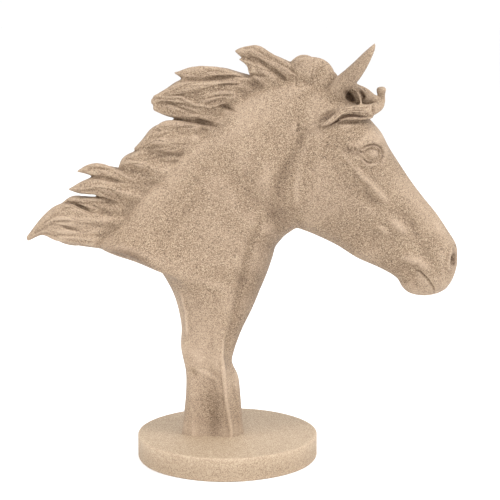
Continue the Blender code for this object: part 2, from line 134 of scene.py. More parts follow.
# Neck and stem: each row is the crest or back end (x, z), the throat or front end (x, z),
# and the half widths on the way from one to the other
NECK_SHARES = (0.04, 0.15, 0.35, 0.58, 0.80, 0.95)
NECK_ROWS = (
    (116, 320, 98, 230, 4, 8, 12, 12, 10, 5),
    (104, 334, 80, 209, 10, 17, 23, 24, 20, 11),
    (74, 344, 68, 202, 12, 19, 26, 28, 27, 16),
    (38, 338, 61, 197.5, 12, 19, 26, 29, 28, 17),
    (5, 322, 55.5, 193.5, 12, 19, 27, 30, 29, 17),
    (-25, 297, 51.5, 189, 12, 19, 28, 32, 31, 18),
    (-53, 266, 47, 183, 12, 19, 30, 34, 32, 18),
    (-79, 237, 44.5, 174, 12, 20, 32, 36, 33, 19),
    (-104, 207, 41, 163, 14, 24, 34, 37, 33, 19),
    (-125, 187, 36.5, 151, 14, 29, 36, 37, 32, 18),
    (-107.5, 174.5, 32, 140.5, 5, 11, 34, 36, 31, 17),
    (-86, 171, 27.5, 129, 5, 13, 32, 33, 30, 16),
    (-69, 164, 22, 116.5, 6, 15, 29, 31, 29, 15),
    (-59, 150.5, 16, 104.5, 8, 18, 26.5, 28.5, 28, 15),
    (-50, 132, 11, 92.5, 10, 18, 23.5, 26, 27, 14),
    (-44.5, 106.5, 7, 80.5, 10, 16, 21, 23.5, 26, 13),
    (-45, 83.5, 5, 68.5, 9, 14, 19, 21.5, 25, 12),
    (-40.5, 60, 11, 54, 9, 13, 17.5, 20, 24, 13),
    (-40.5, 38, 13, 37, 9, 13, 16.5, 18.5, 22, 13),
    (-42.5, 17.5, 14.5, 16, 9, 13, 15.5, 17, 20, 13),
    (-44, 6, 15.5, 5, 9.5, 13.5, 15.5, 17, 19.5, 13),
    (-45, -4, 16.5, -4, 10, 14, 16, 17.5, 20, 13.5),
    (-46, -14, 17.5, -14, 10.5, 14.5, 16.5, 18, 20.5, 13.5),
)
NECK_RINGS = 150

# Head: each row is the way down the face, the height of the face line and of the jaw line
# out of the poll, and the half widths on the way from face to jaw
HEAD_SHARES = (0.06, 0.22, 0.42, 0.65, 0.85, 0.95)
HEAD_ROWS = (
    (-6, -12, -50, 5, 9, 12, 12, 9, 5),
    (8, -3, -62, 10, 19, 23, 22, 18, 10),
    (28, 6, -66, 15, 27, 31, 31, 25, 13),
    (50, 10, -85, 21, 33, 34, 34, 27, 13),
    (66, 13, -100, 24, 37, 37, 36, 29, 15),
    (82, 12.5, -108, 22, 36, 37, 36, 29, 15),
    (100, 13.5, -105.5, 18, 30, 34, 33, 26, 14),
    (120, 15, -90.5, 15, 25, 30, 28, 22, 12),
    (140, 17.6, -77, 13, 20, 25, 23, 18, 10),
    (160, 21, -66.5, 12, 18, 22, 20, 16, 9),
    (180, 22.5, -52, 12, 18.5, 21, 19, 14, 9),
    (196, 23, -43, 13, 21.5, 22.5, 19, 15, 10),
    (207, 18.5, -42.5, 13, 21.5, 22.5, 19, 15, 10),
    (216, 12.5, -39, 12, 18.5, 20, 17, 14, 9),
    (224, 3.5, -29.5, 9, 14, 15, 13, 10, 7),
    (229, -5, -18.5, 4, 6, 7, 6, 5, 3),
)
HEAD_RINGS = 140
RING_STEPS = 10


def flank_ring(start, end, shares, widths):
    """Closed ring from one end to the other and back, bulging to both sides by the widths."""
    middle = [start + (end - start) * share for share in shares]
    near = [point - SIDEWAYS * width for point, width in zip(middle, widths)]
    far = [point + SIDEWAYS * width for point, width in zip(middle, widths)]
    return closed_flow([start] + near + [end] + far[::-1], RING_STEPS)


def neck_rings():
    rings = []
    for row in flow(NECK_ROWS, NECK_RINGS):
        crest = np.array((row[0], 0.0, row[1]))
        throat = np.array((row[2], 0.0, row[3]))
        rings.append(flank_ring(crest, throat, NECK_SHARES, row[4:]))
    return rings


def head_rings():
    rings = []
    for row in flow(HEAD_ROWS, HEAD_RINGS):
        face = POLL + DOWN_FACE * row[0] + OUT_OF_FACE * row[1]
        jaw = POLL + DOWN_FACE * row[0] + OUT_OF_FACE * row[2]
        rings.append(flank_ring(face, jaw, HEAD_SHARES, row[3:]))
    return rings


# Strands: samples along one, points around it, and the least half thickness of its tip
STRAND_SAMPLES = 40
STRAND_SIDES = 16
TIP_THICKNESS = 0.25


def directions(line):
    """Sideways and across a line of points, both square to it, at each of its points."""
    ahead = np.gradient(line, axis=0)
    ahead = ahead / np.linalg.norm(ahead, axis=1)[:, None]
    side = SIDEWAYS - ahead * ahead[:, 1:2]
    side = side / np.linalg.norm(side, axis=1)[:, None]
    return side, np.cross(ahead, side)


def strand_rings(path, tall, deep, sides=STRAND_SIDES):
    """Rings of one strand; tall and deep are its half sizes from root to tip."""
    line = flow(path, STRAND_SAMPLES)
    size = np.maximum(flow(np.column_stack((tall, deep)), STRAND_SAMPLES), TIP_THICKNESS)
    side, across = directions(line)
    angles = np.linspace(0.0, 2 * math.pi, sides, endpoint=False)
    return [[line[i] + across[i] * size[i, 0] * math.cos(a) + side[i] * size[i, 1] * math.sin(a)
             for a in angles] for i in range(STRAND_SAMPLES)]


# Mane locks: upper edge and lower edge from root to tip (x, z), half depth, and strands
MANE_LOCKS = (
    (((104, 338), (97.5, 350.5), (87.5, 359), (78.7, 365.3), (62, 354)),
     ((86, 320), (76, 330), (70, 338), (64, 344), (54, 350)), 13, 1),
    (((84, 344), (62.2, 357.9), (42, 368), (29, 375), (14, 373.5), (8, 370)),
     ((70, 326), (53, 346), (38, 355), (25, 361), (13.5, 365), (8, 370)), 12, 3),
    (((62, 340), (46, 352), (33, 358), (23, 362), (11.5, 362.5)),
     ((44, 314), (32, 336), (23, 348.5), (20.5, 355), (11.5, 362.5)), 9, 2),
    (((50, 340), (13, 349.4), (-4, 354.1), (-20.3, 354.9), (-32, 355.2), (-49.5, 349.5)),
     ((38, 324), (13, 341), (-4, 343), (-20, 342), (-36, 341), (-49.5, 349.5)), 11, 2),
    (((40, 338), (8, 345), (-20, 343), (-42.5, 341), (-56.5, 334.5), (-69.5, 327.5)),
     ((28, 318), (12, 332), (-4, 334), (-20, 330), (-45, 328), (-70, 326.5)), 12, 3),
    (((28, 330), (6, 336), (-10, 335), (-26, 329), (-47, 329), (-71, 325)),
     ((14, 306), (3, 320), (-10, 319), (-26, 315), (-47, 320), (-72, 320)), 14, 3),
    (((15, 315), (-4, 322), (-20, 322), (-34, 321), (-53, 323), (-70, 322)),
     ((0, 290), (-11, 299), (-25, 301), (-38, 304), (-53.5, 308.5), (-69, 314.5)), 12, 2),
    (((4, 300), (-26, 304), (-49, 304.5), (-61.5, 300.5), (-73, 288), (-86, 277.5)),
     ((-12, 272), (-34, 274), (-51, 273), (-67, 273), (-80, 275), (-89, 277.5)), 16, 3),
    (((-16, 277), (-50, 278), (-69, 279), (-83, 276), (-93.5, 270.5), (-101.5, 259.5)),
     ((-40, 240), (-60, 243), (-77, 248), (-89, 252), (-98, 256), (-104, 258.5)), 16, 3),
    (((-60, 249), (-90, 256), (-105, 258.5), (-119, 262.5), (-131.5, 263), (-143.5, 256)),
     ((-66, 232), (-92, 240), (-106, 246), (-119, 249), (-131, 252), (-143.5, 255.5)), 12, 2),
    (((-60, 240), (-91, 244), (-108, 248), (-122, 251), (-134.5, 247), (-151.5, 239)),
     ((-70, 218), (-96, 227), (-112, 230), (-125, 233), (-139, 234), (-151.5, 238)), 14, 3),
    (((-70, 228), (-101, 227), (-120, 231), (-135, 232), (-149, 231.5), (-161, 223)),
     ((-80, 206), (-108, 213), (-125, 215), (-135, 219), (-147, 224), (-161, 222)), 12, 2),
    (((-80, 214), (-112, 216), (-135, 221), (-151, 225), (-168, 214), (-192, 192.5)),
     ((-88, 196), (-120, 202), (-142, 201), (-161, 202), (-176, 200), (-193, 189.5)), 15, 3),
    (((-90, 204), (-122, 206), (-144, 206), (-161, 206), (-176, 203), (-193, 191)),
     ((-108, 180), (-133, 182.4), (-149.3, 184.6), (-163.2, 189.3), (-177, 195), (-191.5, 188)), 13, 2),
)
LOCK_SAMPLES = 21
LOCK_PLACES = (0, 0.2, 0.5, 0.8, 1)
LOCK_DEPTH = (0.5, 0.85, 0.9, 0.6, 0.2)
LEAST_HALF_HEIGHT = 0.7
# The leaf between the strands, as shares of the lock's half height and half depth
CORE_HEIGHT = 0.96
CORE_DEPTH = 0.86
CORE_SIDES = 28
# The strands: how far they wander in their lane, how fast, how far each is behind the last, how
# near they come to the lock's edge, and their fill of the lane
LANE_WANDER = 0.5
LANE_WAVES = 6.5
LANE_STEP = 2.3
LANE_EDGE = 0.9
LANE_FILL = 0.92
# How round the lock's face is, how deep the strands are, and how far they are bedded in it
FACE_ROUND = 0.9
STRAND_DEPTH = 4.2
STRAND_BED = 3.2
BED_SHARE = 0.5
# How far a lock leans to a side, and how that changes from one lock to the next
LOCK_LEAN = 2.0
LEAN_STEP = 2.4
# Combed lines on every lock: how many for each strand, their breadth, how deep they are drawn and
# at which of the lock's samples they start
COMB_LINES = 2
COMB_BREADTH = 0.9
COMB_DEPTH = -0.32
COMB_START = 4
# How far they wander, how fast, and how far each is behind the last line and the last lock
COMB_WANDER = 0.7
COMB_WAVES = 8.0
COMB_STEP = 1.9
COMB_TURN = 0.7


def lay_strands(clay, line, half, deep, strands, turn):
    """Strands side by side along both faces of a lock, each wandering a little in its lane."""
    share = np.linspace(0.0, 1.0, len(line))
    height = np.linalg.norm(half, axis=1)
    side = directions(line)[0]
    for face in (-1, 1):
        for k in range(strands):
            wander = LANE_WANDER / strands * np.sin(LANE_WAVES * share + LANE_STEP * k + turn + face)
            lane = np.clip((2 * k + 1) / strands - 1 + wander, -LANE_EDGE, LANE_EDGE)
            bed = np.minimum(STRAND_BED, deep * BED_SHARE)
            out = face * (deep * np.sqrt(1 - FACE_ROUND * lane ** 2) - bed)
            points = line + half * lane[:, None] + side * out[:, None]
            thick = np.maximum(height / strands * LANE_FILL, LEAST_HALF_HEIGHT)
            add_skin(clay, strand_rings(points, thick, np.minimum(thick, STRAND_DEPTH)))


def add_lock(clay, upper, lower, depth, strands, turn):
    """One lock of the mane: a leaf between its two edges, with strands along both its faces."""
    top = flow(upper, LOCK_SAMPLES)
    bottom = flow(lower, LOCK_SAMPLES)
    share = np.linspace(0.0, 1.0, LOCK_SAMPLES)
    lean = LOCK_LEAN * math.sin(LEAN_STEP * turn) * np.sin(math.pi * share)
    middle = (top + bottom) / 2
    line = np.column_stack((middle[:, 0], lean, middle[:, 1]))
    half = np.column_stack(((top - bottom)[:, 0], np.zeros(LOCK_SAMPLES), (top - bottom)[:, 1])) / 2
    tall = np.maximum(np.linalg.norm(half, axis=1), LEAST_HALF_HEIGHT)
    deep = depth * np.interp(share, LOCK_PLACES, LOCK_DEPTH)
    add_skin(clay, strand_rings(line, tall * CORE_HEIGHT, deep * CORE_DEPTH, CORE_SIDES))
    lay_strands(clay, line, half, deep, strands, turn)


def comb_lines():
    """Fine lines drawn through the locks with a comb, from near the root to the tip."""
    lines = []
    share = np.linspace(0.0, 1.0, LOCK_SAMPLES)
    for turn, (upper, lower, depth, strands) in enumerate(MANE_LOCKS):
        top = flow(upper, LOCK_SAMPLES)
        bottom = flow(lower, LOCK_SAMPLES)
        count = strands * COMB_LINES
        for k in range(count):
            sway = np.sin(COMB_WAVES * share + COMB_STEP * k + COMB_TURN * turn)
            lane = ((k + 0.5) / count + COMB_WANDER / count * sway)[:, None]
            line = (bottom + (top - bottom) * lane)[COMB_START:-1]
            lines.append((line, COMB_BREADTH, COMB_DEPTH))
    return lines


# Ear: its line from root to tip (x, sideways, z), its half breadth across the head, its half
# depth, and how far the scroll is hollowed in front
EAR_LINE = ((103, 14, 328), (110, 17, 339), (117, 20, 346), (124.5, 23, 355), (131.5, 25, 365),
            (135.8, 25.5, 372), (138.4, 25, 378))
EAR_BREADTH = (9, 10, 10, 9, 6.5, 4, 0.8)
EAR_DEPTH = (10.5, 10, 9.4, 8, 5.8, 3.4, 0.7)
EAR_HOLLOW = (0, 0, 0.5, 0.95, 0.9, 0.1, 0)
EAR_WALL = 2.6
EAR_OPENING = 2.35
EAR_SIDES = 24
# The far ear is pricked a little further forward
FAR_EAR_SHIFT = np.array((4.0, 0.0, -1.2))


def ear_rings(side):
    """Pricked ear: a scroll that is round behind and open in front."""
    line = flow([(x, side * y, z) for x, y, z in EAR_LINE], STRAND_SAMPLES)
    if side > 0:
        line = line + FAR_EAR_SHIFT
    size = flow(np.column_stack((EAR_BREADTH, EAR_DEPTH, EAR_HOLLOW)), STRAND_SAMPLES)
    across, back = directions(line)
    turn = np.linspace(-EAR_OPENING, EAR_OPENING, EAR_SIDES)
    dip = np.sin(np.linspace(0, math.pi, EAR_SIDES))[:, None]
    rings = []
    for i in range(STRAND_SAMPLES):
        breadth, depth, hollow = size[i]
        outer = np.outer(np.sin(turn) * breadth, across[i]) + np.outer(np.cos(turn) * depth, back[i])
        chord = outer[0] + np.linspace(0, 1, EAR_SIDES)[:, None] * (outer[-1] - outer[0])
        inner = outer * max(1 - EAR_WALL / breadth, 0.0)
        front = chord + (inner - chord) * max(hollow, 0.0) * dip
        rings.append(line[i] + np.vstack((outer, front[-2:0:-1])))
    return rings


# Forelock: each wisp is its line from root to tip (x, sideways, z), its half height and half
# depth along it, and its strands
FORELOCK = (
    # The heart of the tuft, over the forehead between the ears
    (((94, 0, 334), (106, 0, 337), (118, 0, 332), (128, 0, 325), (138, 0, 314)),
     (9, 9, 8.5, 7.5, 4), (11, 12, 12, 10, 6), 0),
    # The lock that falls forward to the near side
    (((106, 0, 337), (115, -3, 336.5), (121.5, -6, 333), (127, -9, 329.6), (133, -11.5, 326.4),
      (138.5, -13, 324.6), (142.5, -14, 322)),
     (3, 3.4, 3.8, 4.4, 5.2, 5.6, 5), (3, 3.2, 3.2, 3.4, 3.6, 3.8, 4), 3),
    # The tip that curls up in front
    (((140, -13, 316.5), (144, -12, 320), (146, -10.5, 324), (146.2, -9.5, 328), (146, -9, 332),
      (146, -9, 335), (145.9, -9, 337)),
     (3, 4, 4.1, 3.5, 4.4, 4.8, 2.9), (3, 4, 4, 3.4, 4.2, 4.6, 2.8), 0),
    # The near wisp, from the curl back along the temple
    (((143.4, -9, 326), (145, -13, 321.5), (142, -18, 318.4), (136.5, -22, 316.2), (129.7, -25, 315.6),
      (122.1, -27.5, 316.2), (115.4, -29.5, 316.1), (110.2, -31, 315.5), (105.5, -32.5, 313.2),
      (100.3, -34, 309.2), (94.8, -34.5, 305.3), (88.3, -34, 301.9)),
     (3.5, 4.4, 5, 5.6, 5.5, 4.8, 4.1, 4, 3.6, 3.1, 2.3, 0.9),
     (3.5, 4.2, 4.2, 4, 3.6, 3.3, 3.1, 3, 2.9, 2.6, 2.2, 0.9), 4),
    # The thin wisp under it
    (((137, -21, 309.4), (133, -24, 309), (124.9, -27.5, 309.2), (117.3, -29.5, 309.3),
      (110.7, -31, 308.8), (105, -33, 306.2)),
     (1.2, 1.9, 2.3, 2.3, 1.8, 0.8), (2, 3, 3.4, 3.4, 2.6, 0.8), 0),
    # The short wisp in front of the near ear
    (((116, -8, 337.5), (120.3, -13, 333.8), (123.5, -17.5, 331), (125.3, -21, 327),
      (125.8, -24.5, 322.5), (125, -26, 318.5)),
     (1.5, 1.6, 1.7, 1.6, 1.5, 1.3), (2, 1.8, 1.7, 1.6, 1.5, 1.3), 0),
    # The far locks and wisps
    (((104, 2, 337), (114, 6, 337.5), (124, 9.5, 334), (132, 12, 329.5), (138.5, 14.5, 325)),
     (3, 3.6, 4.4, 5, 5), (3, 3.2, 3.4, 3.6, 3.8), 3),
    (((139, 13, 326), (142.5, 17, 321), (139, 22, 317.5), (132, 25.5, 316), (124, 28, 315.5),
      (116, 30.5, 315), (109, 33, 313), (102, 34.5, 308.5), (93, 34, 301)),
     (3.5, 4.6, 5.2, 5.4, 5, 4.4, 4, 3, 0.9), (3.5, 4.2, 4.2, 3.8, 3.4, 3.2, 3, 2.6, 0.9), 4),
    (((136, 24, 309), (128, 29, 307), (119, 32, 306), (110, 34, 302)),
     (2.2, 2.6, 2.2, 0.8), (2.2, 2.8, 2.4, 0.8), 0),
)
WISP_SAMPLES = 31
# How far the strands stand out of a wisp
WISP_SWELL = 1.15


def add_wisp(clay, path, tall, deep, strands, turn):
    """One wisp of the forelock, with its strands if it has any."""
    add_skin(clay, strand_rings(path, tall, deep, CORE_SIDES))
    if strands:
        line = flow(path, WISP_SAMPLES)
        size = flow(np.column_stack((tall, deep)), WISP_SAMPLES)
        half = directions(line)[1] * size[:, :1]
        lay_strands(clay, line, half, size[:, 1] * WISP_SWELL, strands, turn)


# Eye: the eyeball's centre (x, sideways, z) and half sizes
EYE_CENTRE = (134.4, 26.5, 276.0)
EYE_HALF_SIZES = (8.8, 10.0, 7.3)
EYE_ROWS = 25
EYE_SIDES = 36
# Turn of its first and last rows away from its poles
EYE_POLE = 0.05


def eyeball_rings(side):
    centre = np.array(EYE_CENTRE) * (1, side, 1)
    around = np.linspace(0, 2 * math.pi, EYE_SIDES, endpoint=False)
    rings = []
    for angle in np.linspace(EYE_POLE, math.pi - EYE_POLE, EYE_ROWS):
        ring = np.column_stack((math.sin(angle) * np.cos(around), math.sin(angle) * np.sin(around),
                                np.full(EYE_SIDES, math.cos(angle))))
        rings.append(centre + ring * EYE_HALF_SIZES)
    return rings


def clay_mesh():
    """All the masses of the figure, one through another."""
    clay = bmesh.new()
    add_skin(clay, neck_rings())
    add_skin(clay, head_rings())
    for side in (-1, 1):
        add_skin(clay, ear_rings(side))
        add_skin(clay, eyeball_rings(side))
    for turn, wisp in enumerate(FORELOCK):
        add_wisp(clay, *wisp, turn)
    for turn, lock in enumerate(MANE_LOCKS):
        add_lock(clay, *lock, turn)
    return as_mesh(clay, "clay")


def settled(lump):
    """Take an object's evaluated mesh and remove the object."""
    graph = bpy.context.evaluated_depsgraph_get()
    result = bpy.data.meshes.new_from_object(lump.evaluated_get(graph))
    old = lump.data
    bpy.data.objects.remove(lump)
    bpy.data.meshes.remove(old)
    return result


def melt(mesh):
    """One closed surface around all the masses, with even small faces."""
    lump = linked("lump", mesh)
    remesh = lump.modifiers.new("melt", "REMESH")
    remesh.mode = "VOXEL"
    remesh.voxel_size = CLAY_GRAIN
    return settled(lump)


def thin(mesh, facets):
    """Keep about so many facets where the form needs them most."""
    mesh.calc_loop_triangles()
    lump = linked("lump", mesh)
    fewer = lump.modifiers.new("thin", "DECIMATE")
    fewer.ratio = min(facets / len(mesh.loop_triangles), 1.0)
    return settled(lump)


# Tool marks on both flanks: the line (x, z), its breadth and how far it rises or, below nought,
# sinks
MARKS = (
    # Behind the jowl, the jowl's round edge and the hollow of the throat
    (((86, 303), (76, 293), (64, 277), (56, 262), (50, 246), (47, 230), (47, 214), (56, 200)),
     6.5, -1.8),
    (((64, 280), (52, 252), (45, 232), (43, 214), (54, 196)), 9, -1.0),
    (((86, 306), (75, 293), (69, 272), (66, 251), (64, 230), (64, 208)), 5.5, 2.2),
    (((24, 209), (44, 217), (66, 208)), 8, -1.3),
    (((68.5, 306), (67.3, 300), (66.6, 294)), 1.3, -1.0),
    (((73, 307), (72, 298)), 3, 0.8),
    # The brow, the hollow behind it and the socket
    (((112, 288), (132, 293), (152, 282)), 7, 1.1),
    (((114, 304), (123, 295), (119, 284)), 5, -1.4),
    (((151, 288), (149, 272), (144, 258)), 4, 0.8),
    # The upper lid: the fold over it, its rim and the line between rim and eyeball
    (((124, 280.5), (129.8, 283), (134.6, 284.3), (138.4, 284.2), (142.2, 283), (145.4, 280),
      (146.4, 276), (146, 270)), 0.9, -1.0),
    (((126.5, 280.2), (131, 282.2), (134.6, 282.9), (138.4, 282.6), (141.8, 281.1), (144, 278.5),
      (144.7, 275), (144.4, 270)), 1.0, 1.2),
    (((127.6, 279), (130.5, 279.9), (134.6, 281), (138.1, 280.8), (141, 279.4), (142.7, 277.3),
      (143.1, 274.8), (142.9, 271.4)), 0.8, -1.3),
    # The back corner and the lower lid with the folds under it
    (((122.8, 280), (125.5, 278.2), (128.4, 278.2)), 0.9, -1.0),
    (((126.4, 274.6), (128.4, 271), (131.8, 268.3), (135.1, 267.4), (138.6, 269)), 0.9, -1.2),
    (((124.5, 275), (127, 270.4), (131.5, 266.8), (135.5, 265.4), (140, 266.4), (145, 268.4)), 1.6, 1.1),
    (((122.6, 268.4), (126.4, 263.4), (132.6, 261)), 1.2, -0.8),
    (((121, 266), (124.5, 261.8), (129.5, 258.8)), 1.4, 0.8),
    # Wrinkles behind the eye
    (((111.3, 285.4), (115.1, 277.9)), 1.0, -0.9),
    (((116.6, 284.5), (115.4, 277.9)), 0.9, -0.8),
    (((118.4, 283), (122.2, 278.6)), 1.0, -1.0),
    (((120.5, 276.5), (123, 274.5)), 1.0, -0.8),
    # The facial crest and the hollow under it
    (((104, 282), (120.6, 262), (134, 248.5)), 2.8, 1.0),
    (((117, 266), (137, 245.5), (148, 234.4), (157, 225)), 4.2, 2.8),
    (((122, 247), (137.2, 232), (152, 219)), 5, -2.2),
    # Folds of the cheek, the groove from the crest to the lip, and the nose
    (((151, 218), (163.5, 206.5), (175, 196.5)), 5.4, 3.6),
    (((139.5, 210.5), (148, 203.5), (156.5, 196)), 3, 1.8),
    (((152.8, 223.4), (164.5, 217.4), (176.1, 205.9), (187.8, 186.7), (197.6, 171.3), (208, 148)),
     6.5, -1.8),
    (((193, 215.5), (205.5, 195.5), (216, 178)), 5.5, 1.8),
    # The upper lip, the mouth and the chin
    (((161, 179), (172, 175.5), (182.4, 172.2), (199, 160)), 5, 3.8),
    (((178, 164.5), (180, 164), (185, 162), (190, 157), (194, 152), (198, 146), (200, 138)), 1.0, -1.8),
    (((176, 163), (196, 145)), 5, 1.0),
    # The rim of the nostril
    (((212.5, 187), (213.8, 182), (212.4, 177), (211.4, 171), (211.6, 165), (212.5, 160)), 1.8, 1.6),
    # The forelock: the pits beside the short wisp, the crease before the curl, the lines of the
    # wisp and the shadow under it
    (((110.5, 334.5), (116, 328), (122, 321.5)), 2.5, -4.8),
    (((125, 334.5), (128.6, 328.5), (128.2, 323)), 1.9, -3.4),
    (((137.6, 323), (136.8, 318), (137.2, 312)), 1.2, -1.1),
    (((135, 316.2), (129.7, 315.8), (122.1, 316.2), (115.4, 316.1), (110.2, 315.5), (105.5, 313.2),
      (100.3, 309.2), (94.8, 305.3)), 0.8, -0.9),
    (((135, 318.8), (129.7, 318.4), (122.1, 318.6), (115.4, 318.4), (109, 317.2), (103.6, 314.4),
      (98.7, 310.6)), 0.8, -0.9),
    (((135, 313.4), (129.7, 312.8), (122.1, 313.8), (115.4, 314), (110.8, 313.2), (106.6, 310.8),
      (101.6, 307)), 0.8, -0.9),
    (((137, 310), (130.4, 310), (124.7, 310.9), (118.2, 311.6), (113.3, 311.5), (110, 310.8),
      (105.1, 308), (101, 304.9), (96.8, 302.5)), 1.2, -2.2),
    (((101.5, 303.3), (110.5, 304.8), (120, 305.2), (127, 307.2)), 1.6, -1.6),
    (((87.5, 310.5), (94, 313.6), (99, 317)), 1.6, -1.4),
    # The groove of the throat and the swell of the neck
    (((38, 232), (33.7, 217.9), (28, 201.7), (24, 190.9), (20.8, 179.4), (16, 158), (11.3, 135.4),
      (6.4, 112), (1.6, 95.2), (-4, 62)), 5, -2.8),
    (((41, 280), (37, 250), (34, 222)), 9, 1.8),
    (((-12, 280), (13, 246.3), (34, 216)), 10, -2.4),
    (((-70, 185), (-45.3, 213.4), (-19, 245)), 5, -1.6),
    (((-100, 198), (-62, 240), (-22, 285), (25, 312), (65, 322)), 15, 1.5),
    # The stem: its hollow, the oblique edge over it, and the ridge, facet and rounds beside it
    (((-24, 62), (-18, 40), (-15, 18), (-13, -24)), 9, -1.7),
    (((-37, 69), (-20.2, 62), (-9.9, 56.5), (-3, 36)), 2.8, 1.1),
    (((-2, 104), (-4.1, 79), (-2.7, 61.6), (-0.2, 34), (3.9, 6), (5, -14)), 1.7, 2.4),
    (((0, 104), (4, 70), (6, 50), (9, 28), (16, -24)), 5, -1.8),
    (((-39, 82), (-34, 48), (-33, 20), (-31, -24)), 4, 1.4),
    (((-44, 147), (-38.6, 123), (-37, 94)), 1.7, 1.8),
    # Grooves of the mane, from the poll back
    (((59, 355), (66, 349)), 1.4, -1.2),
    (((24, 374), (37, 367), (50, 360), (65, 351)), 1.4, -1.2),
    (((18, 367), (30, 362), (41, 355)), 1.3, -1.3),
    (((-45, 343), (-26, 344), (2, 346), (27, 348), (42, 346)), 1.6, -2.8),
    (((-10, 360), (-22, 356), (-34, 353)), 1.4, -0.7),
    (((-4, 353), (-17, 351), (-28, 347)), 1.3, -0.7),
    (((-70, 328), (-57, 327), (-43, 327), (-29, 320), (-15, 318), (-1, 322), (9, 325)), 1.3, 1.4),
    (((-69, 322), (-53, 321), (-38, 315), (-25, 311)), 1.5, -2.0),
    (((-20, 327), (-6, 329), (9, 329)), 1.5, -2.2),
    (((-11, 337), (2, 339), (15, 339)), 1.7, -2.6),
    (((-10, 319), (0, 318), (10, 315)), 1.9, -2.8),
    (((-34.2, 306.7), (-20, 303.1), (-3.9, 299.5)), 2.2, -2.4),
    (((-27.5, 298.4), (-15.2, 295.7)), 2.0, -2.0),
    (((-77, 276), (-63, 275), (-44, 272), (-36, 274)), 1.8, -1.5),
    (((-66, 268), (-53, 266), (-42, 267)), 1.6, -1.3),
    (((-135, 259), (-121, 260), (-112, 259)), 1.1, -0.9),
    (((-131, 253), (-123, 251), (-116, 252)), 1.2, -0.9),
    (((-116, 243), (-107, 237), (-99, 229)), 1.3, -0.9),
    (((-129, 234), (-120, 232), (-114, 229), (-103, 226)), 1.6, -1.5),
    (((-160, 223), (-152, 227), (-145, 225), (-135, 220), (-124, 215)), 1.4, -1.4),
    (((-173, 208), (-162, 209), (-149, 210)), 1.2, -0.8),
    (((-158, 205), (-147, 202), (-136, 199)), 1.3, -0.9),
    (((-157, 192), (-140, 190), (-124, 189)), 1.4, -0.8),
)
# Hollows and swellings of each side: the line (x, sideways, z), its breadth and its rise
DEEP_MARKS = (
    # The nostril and the tip of the nose beyond it
    (((217.8, 13.5, 180), (217.2, 16, 175.5), (216.3, 17, 170), (214.8, 17, 165.5)), 3.4, -7.0),
    (((220, 0, 184), (219, 7, 184.5), (216, 12, 186)), 1.6, -1.4),
    # The notch between the lips
    (((201.5, 0, 138), (200.5, 7, 140)), 1.6, -1.8),
    # The edge of the cut under the neck, and the hollow below it
    (((-114, 17, 182.3), (-104, 24, 185.5), (-94, 27, 185.3), (-86.6, 28, 182.6), (-81.8, 27, 179),
      (-73.3, 22, 172.5), (-64, 11, 162)), 2.2, 1.8),
    (((-113, 16, 181), (-104, 22, 180), (-93, 26, 179), (-85, 27, 176.5), (-72, 24, 167.5)), 4.5, -3.0),
)
# Marks show fully where a flank faces sideways by more than the second value, and not at all
# under the first
FLANK_FROM = 0.1
FLANK_TO = 0.5
# A stroke is worked out to this many times its breadth, and fades over about its breadth and
# this share of its length at both ends
STROKE_REACH = 3.0
FADE_SHARE = 0.12


def line_place(points, line):
    """How far each point is from a broken line, and how far from the line's nearer end."""
    steps = np.diff(line, axis=0)
    lengths = np.linalg.norm(steps, axis=1)
    starts = np.cumsum(lengths) - lengths
    away = np.full(len(points), np.inf)
    place = np.zeros(len(points))
    for corner, step, length, start in zip(line, steps, lengths, starts):
        t = np.clip((points - corner) @ step / length ** 2, 0.0, 1.0)
        distance = np.linalg.norm(points - corner - t[:, None] * step, axis=1)
        nearer = distance < away
        away[nearer] = distance[nearer]
        place[nearer] = start + t[nearer] * length
    return away, np.minimum(place, lengths.sum() - place), lengths.sum()


def add_stroke(lift, points, line, breadth, rise, fade=True):
    """Add to lift how far a stroke of the tool along the line raises each point."""
    rows = np.array(line, dtype=float)
    reach = STROKE_REACH * breadth
    close = np.all((points > rows.min(axis=0) - reach) & (points < rows.max(axis=0) + reach), axis=1)
    away, inside, length = line_place(points[close], rows)
    press = 1 - np.exp(-(inside / (breadth + FADE_SHARE * length)) ** 2) if fade else 1.0
    lift[close] += rise * press * np.exp(-(away / breadth) ** 2)


def read_vectors(items, name, count):
    values = np.empty(count * 3)
    items.foreach_get(name, values)
    return values.reshape(-1, 3)


def edge_ends(mesh):
    ends = np.empty(len(mesh.edges) * 2, dtype=np.int64)
    mesh.edges.foreach_get("vertices", ends)
    return ends.reshape(-1, 2)


def neighbour_sum(points, ends):
    """Sum of each point's neighbours along the edges."""
    total = np.empty_like(points)
    for axis in range(3):
        value = points[:, axis]
        total[:, axis] = (np.bincount(ends[:, 0], value[ends[:, 1]], len(points))
                          + np.bincount(ends[:, 1], value[ends[:, 0]], len(points)))
    return total


def work_marks(mesh):
    """Work the marks into the surface, along its normals."""
    count = len(mesh.vertices)
    points = read_vectors(mesh.vertices, "co", count)
    normals = read_vectors(mesh.vertex_normals, "vector", count)
    flank = np.clip((np.abs(normals[:, 1]) - FLANK_FROM) / (FLANK_TO - FLANK_FROM), 0.0, 1.0)
    lift = np.zeros(count)
    for mark in MARKS:
        add_stroke(lift, points[:, (0, 2)], *mark)
    for mark in comb_lines():
        add_stroke(lift, points[:, (0, 2)], *mark)
    lift *= flank
    for line, breadth, rise in DEEP_MARKS:
        for side in (-1, 1):
            add_stroke(lift, points, [(x, side * y, z) for x, y, z in line], breadth, rise)
    points = points + normals * lift[:, None]
    mesh.vertices.foreach_set("co", points.ravel())
    mesh.update()


